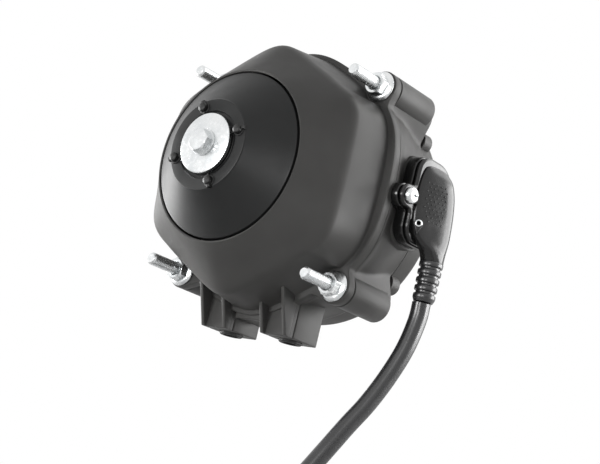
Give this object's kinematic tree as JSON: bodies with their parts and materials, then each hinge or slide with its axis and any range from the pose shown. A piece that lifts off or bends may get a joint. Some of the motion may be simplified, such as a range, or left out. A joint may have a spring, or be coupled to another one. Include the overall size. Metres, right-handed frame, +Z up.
{
  "type": "refrigeration fan motor",
  "caption": "External rotor fan motor with a six-sided moulded housing, conical hub, front studs with nuts, feet, and a right-angle plug with a coiled lead.",
  "frame": {"origin": "on the shaft's axis, in the plane of the four stud boss faces", "axes": "-Y is the fan side, along the shaft and out of the hub; +X is the side that the lead leaves; +Z is up, away from the feet"},
  "size_m": [0.1167, 0.1039, 0.2085],
  "materials": {
    "housing_plastic": "moulded charcoal grey, satin to matte",
    "rotor_plastic": "moulded charcoal grey, satin",
    "inlet_plastic": "gloss black",
    "lead_sheath": "black flexible sheath, satin",
    "seal_rubber": "matte black",
    "bright_zinc": "bright zinc plated steel",
    "ground_steel": "ground steel",
    "electrical_steel": "dull laminated steel",
    "cast_metal": "die cast aluminium",
    "ferrite": "moulded ferrite, dark grey",
    "enamelled_copper": "enamelled copper wire",
    "tinned_brass": "tinned brass",
    "board_green": "green solder mask on glass epoxy",
    "component_grey": "moulded component body",
    "core_brown": "brown core insulation",
    "core_blue": "blue core insulation",
    "core_green": "green core insulation with a yellow line"
  },
  "bodies": {
    "housing": {"front_housing": "housing_plastic", "rear_housing": "housing_plastic", "housing_seal": "seal_rubber", "rear_cover": "housing_plastic", "cover_screw_1": "bright_zinc", "cover_screw_2": "bright_zinc", "cover_screw_3": "bright_zinc", "cover_screw_4": "bright_zinc", "board_screw_1": "bright_zinc", "board_screw_2": "bright_zinc", "board_screw_3": "bright_zinc", "plug_screw": "bright_zinc", "stud_1": "bright_zinc", "stud_2": "bright_zinc", "stud_3": "bright_zinc", "stud_4": "bright_zinc", "flange_nut_1": "bright_zinc", "flange_nut_2": "bright_zinc", "flange_nut_3": "bright_zinc", "flange_nut_4": "bright_zinc", "foot_bush_left": "seal_rubber", "foot_bush_right": "seal_rubber", "front_bearing": "ground_steel", "rear_bearing": "ground_steel", "stator_carrier": "cast_metal", "stator_core": "electrical_steel", "stator_winding": "enamelled_copper", "control_board": "board_green", "board_capacitor_1": "component_grey", "board_capacitor_2": "component_grey", "board_choke": "enamelled_copper", "board_power_module": "component_grey", "inlet_socket": "inlet_plastic", "inlet_pin_1": "tinned_brass", "inlet_pin_2": "tinned_brass", "inlet_pin_3": "tinned_brass", "power_plug": "inlet_plastic", "strain_relief": "lead_sheath", "power_lead": "lead_sheath", "lead_coil": "lead_sheath", "coil_tie_1": "seal_rubber", "coil_tie_2": "seal_rubber", "lead_tail": "lead_sheath", "end_sleeve": "seal_rubber", "core_brown": "core_brown", "core_blue": "core_blue", "core_green": "core_green"},
    "rotor": {"rotor_hub": "rotor_plastic", "rotor_back_iron": "electrical_steel", "magnet_ring": "ferrite", "rotor_shaft": "ground_steel", "blade_washer": "bright_zinc", "hub_bolt": "bright_zinc", "wave_washer": "ground_steel", "retaining_ring": "ground_steel"}
  },
  "joints": [
    {"name": "rotor_spin", "type": "hinge", "parent": "housing", "child": "rotor", "pos_m": [0, 0, 0], "axis": [0, -1, 0], "continuous": true}
  ]
}
